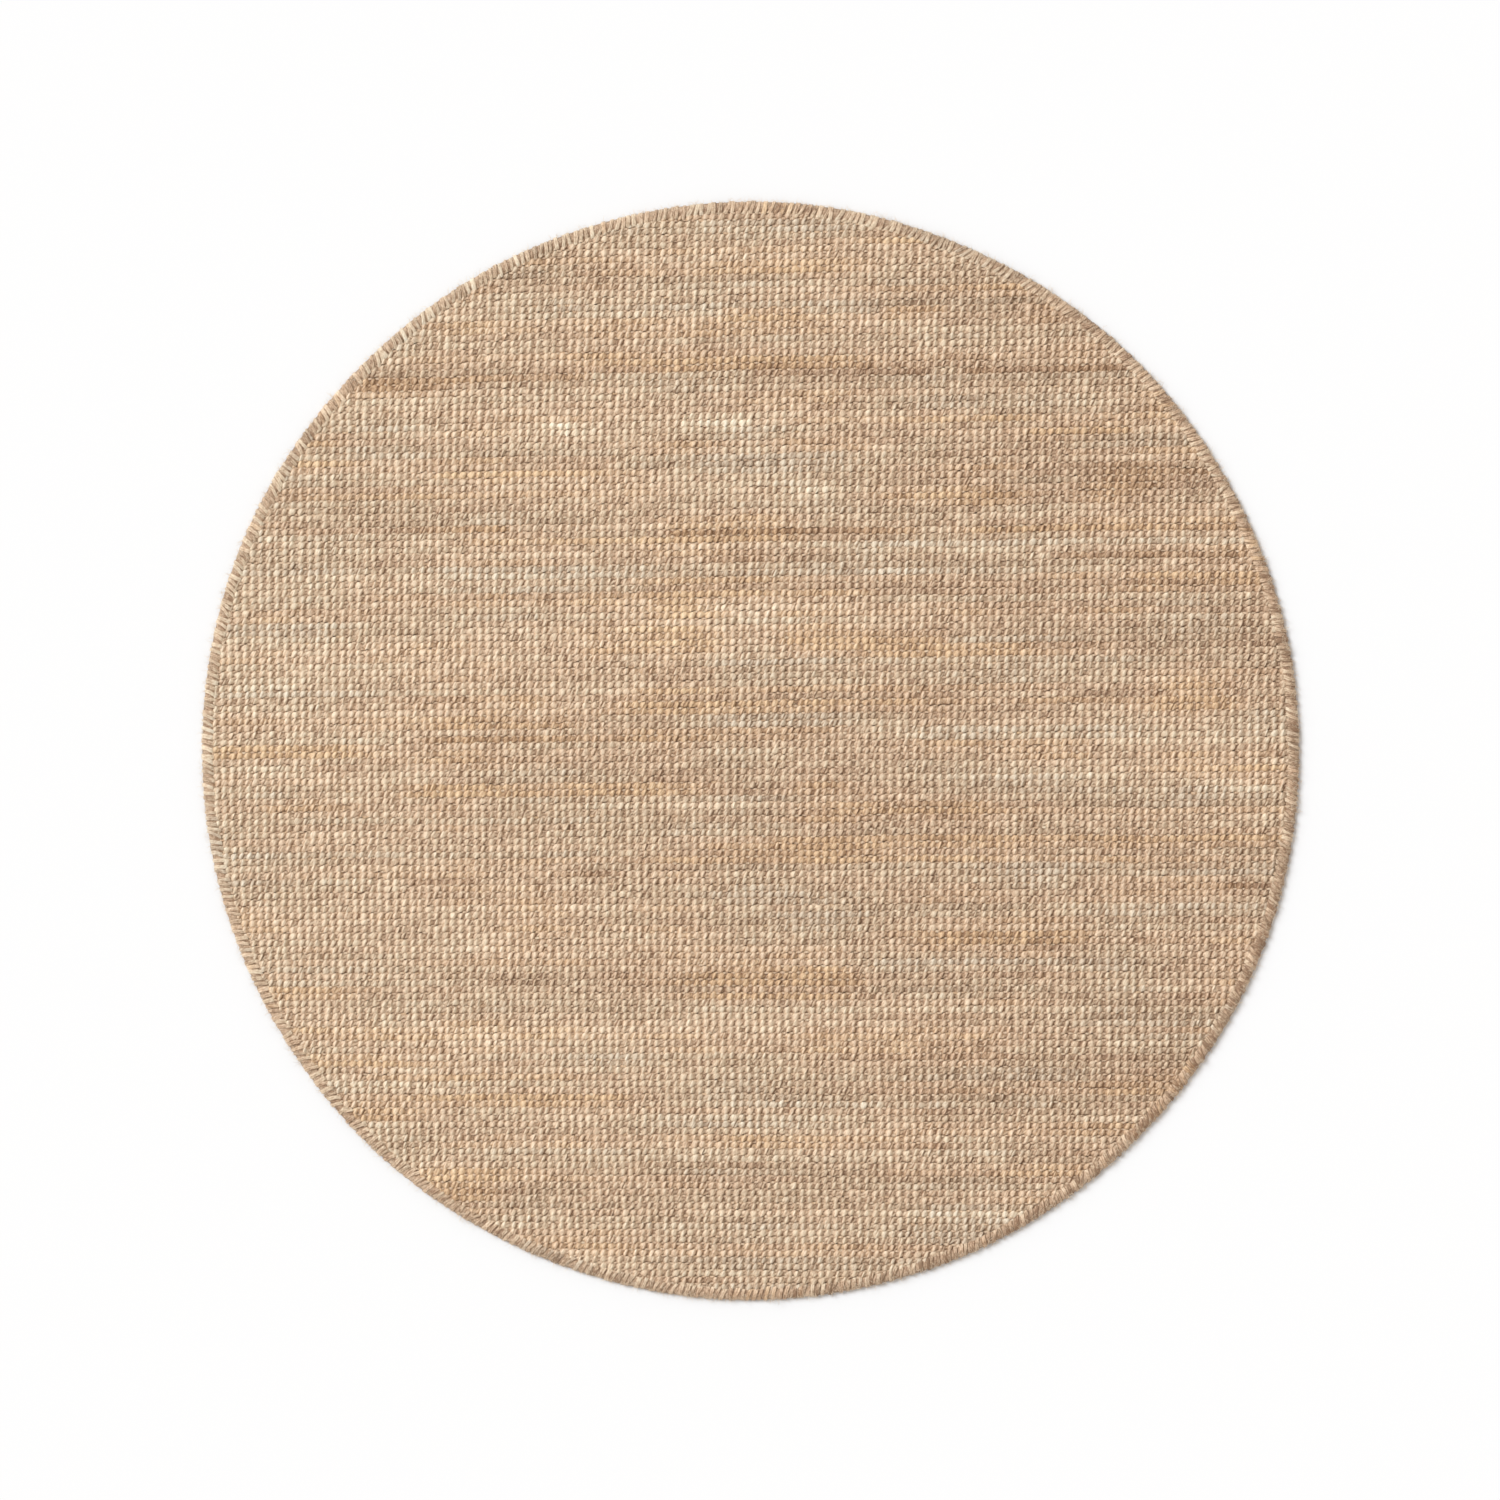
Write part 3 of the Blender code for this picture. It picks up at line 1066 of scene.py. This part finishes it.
def fibre_mesh(name, rng, start, heading, length, rise):
    """Loose fibres as thin flat strips. start is (fibres, 3) and rise the height at each ring."""
    count = len(length)
    share = np.array(FIBRE_RINGS)
    across = np.array([-1.0, 1.0])

    def drawn(size):
        return size * rng.standard_normal(count)[:, None]

    bend = drawn(FIBRE_BEND_SPREAD)
    turned = heading[:, None] + bend * share
    x = start[:, 0, None] + length[:, None] * share * np.cos(turned)
    y = start[:, 1, None] + length[:, None] * share * np.sin(turned)
    z = np.maximum(start[:, 2, None] + rise, FIBRE_LOWEST)
    half = (FIBRE_HALF * np.array(FIBRE_TAPER))[:, None] * across
    side = (turned + bend * share + math.pi / 2)[:, :, None]
    point_x = x[:, :, None] + half * np.cos(side)
    point_y = y[:, :, None] + half * np.sin(side)
    points = np.stack([point_x, point_y, z[:, :, None] + 0 * half], axis=-1)
    zero = 0 * point_x
    mean_tone, tone_spread = FIBRE_TONE
    layers = {
        "along": (length[:, None] * share)[:, :, None] + zero,
        "across": zero + across,
        "yarn": np.arange(count)[:, None, None] * YARN_STEP + zero,
        "tone": mean_tone + drawn(tone_spread)[:, :, None] + zero,
        "warmth": drawn(FIBRE_WARMTH_SPREAD)[:, :, None] + zero,
        "shade": zero,
    }
    kept = np.ones(points.shape[:2], dtype=bool)
    return strip_mesh(name, points, kept, layers, tile_uvs(count, len(FIBRE_RINGS), across))


def make_fibres(material):
    """Hairs of jute: many round the rim, and a few on the field."""
    rng = np.random.default_rng(SEED + 5)
    around = rng.uniform(0.0, 2 * math.pi, RIM_FIBRES)
    inward = rng.uniform(*RIM_FIBRE_INWARD, RIM_FIBRES)
    path_inward, path_height, _, _ = zip(*STITCH_PATH[STITCH_RIM::-1])
    height = np.interp(inward, path_inward, path_height) + STITCH_RISE * RIM_FIBRE_SEAT
    radius = (RADIUS - inward) * (1.0 + rim_offset(around) / RADIUS)
    start = np.stack([radius * np.cos(around), radius * np.sin(around), height], axis=1)
    heading = around + RIM_FIBRE_TURN_SPREAD * rng.standard_normal(RIM_FIBRES)
    length = rng.uniform(*RIM_FIBRE_LENGTH, RIM_FIBRES)
    slope = rng.uniform(*RIM_FIBRE_SLOPE, RIM_FIBRES)
    rise = slope[:, None] * length[:, None] * np.array(FIBRE_RINGS)
    rim = fibre_mesh("rim_fibres", rng, start, heading, length, rise)
    finish_piece(rim, material, "edge_binding")

    around = rng.uniform(0.0, 2 * math.pi, FIELD_FIBRES)
    radius = FIELD_FIBRE_END * np.sqrt(rng.uniform(0.0, 1.0, FIELD_FIBRES))
    height = FIELD_FIBRE_HEIGHT + 0 * radius
    start = np.stack([radius * np.cos(around), radius * np.sin(around), height], axis=1)
    heading = rng.uniform(0.0, 2 * math.pi, FIELD_FIBRES)
    length = rng.uniform(*FIELD_FIBRE_LENGTH, FIELD_FIBRES)
    rise = np.array(FIELD_FIBRE_RISE) + 0 * length[:, None]
    field = fibre_mesh("field_fibres", rng, start, heading, length, rise)
    finish_piece(field, material, "field")
    return [rim, field]


def make_floor():
    """A wide, dull and pale floor, which takes the rug's shadow."""
    mesh = bpy.data.meshes.new("floor")
    bm = bmesh.new()
    bmesh.ops.create_grid(bm, x_segments=FLOOR_STEPS, y_segments=FLOOR_STEPS, size=FLOOR_HALF)
    bm.to_mesh(mesh)
    bm.free()
    floor = add_object("floor", mesh)
    graph = Graph("pale_floor")
    graph.shader.inputs["Base Color"].default_value = FLOOR_COLOUR
    graph.shader.inputs["Roughness"].default_value = 1.0
    graph.shader.inputs["Specular IOR Level"].default_value = 0.0
    mesh.materials.append(graph.material)


def make_lights():
    """An even warm sky, and one broad cool light from the upper left."""
    world = bpy.data.worlds.new("studio")
    world.use_nodes = True
    sky = world.node_tree.nodes["Background"]
    sky.inputs["Color"].default_value = SKY_COLOUR
    sky.inputs["Strength"].default_value = SKY_STRENGTH
    bpy.context.scene.world = world
    light = bpy.data.lights.new("soft_light", "SUN")
    light.energy = SUN_ENERGY
    light.color = SUN_COLOUR
    light.angle = SUN_SOFTNESS
    lamp = add_object("soft_light", light)
    lamp.rotation_euler = SUN_TURN


def make_camera():
    """Straight above the rug, with the photograph's frame."""
    view = IMAGE_SIZE * METRES_PER_PIXEL
    data = bpy.data.cameras.new("camera")
    data.lens = LENS
    data.sensor_width = SENSOR
    data.clip_end = CLIP_END
    camera = add_object("camera", data)
    middle = IMAGE_SIZE / 2
    camera.location = (
        (middle - RUG_CENTRE_PIXEL[0]) * METRES_PER_PIXEL,
        (RUG_CENTRE_PIXEL[1] - middle) * METRES_PER_PIXEL,
        view * LENS / SENSOR + SHARP_HEIGHT,
    )
    bpy.context.scene.camera = camera


def main():
    rng = np.random.default_rng(SEED)
    wander = Wander(rng)
    dye = Dye(rng, wander)
    soft, thin, cloth, edge, loose = (jute(*row) for row in JUTES)
    pieces = make_thick_yarns(wander, dye, soft)
    pieces += make_cross_yarns(wander, dye, thin)
    pieces += make_thin_yarns(wander, thin)
    pieces.append(make_rim_core(dye, cloth))
    pieces.append(make_stitches(dye, edge))
    pieces += make_fibres(loose)
    backing = make_backing(wander, dye, cloth)
    make_floor()
    make_lights()
    make_camera()
    bpy.context.scene.view_settings.view_transform = "Standard"


main()
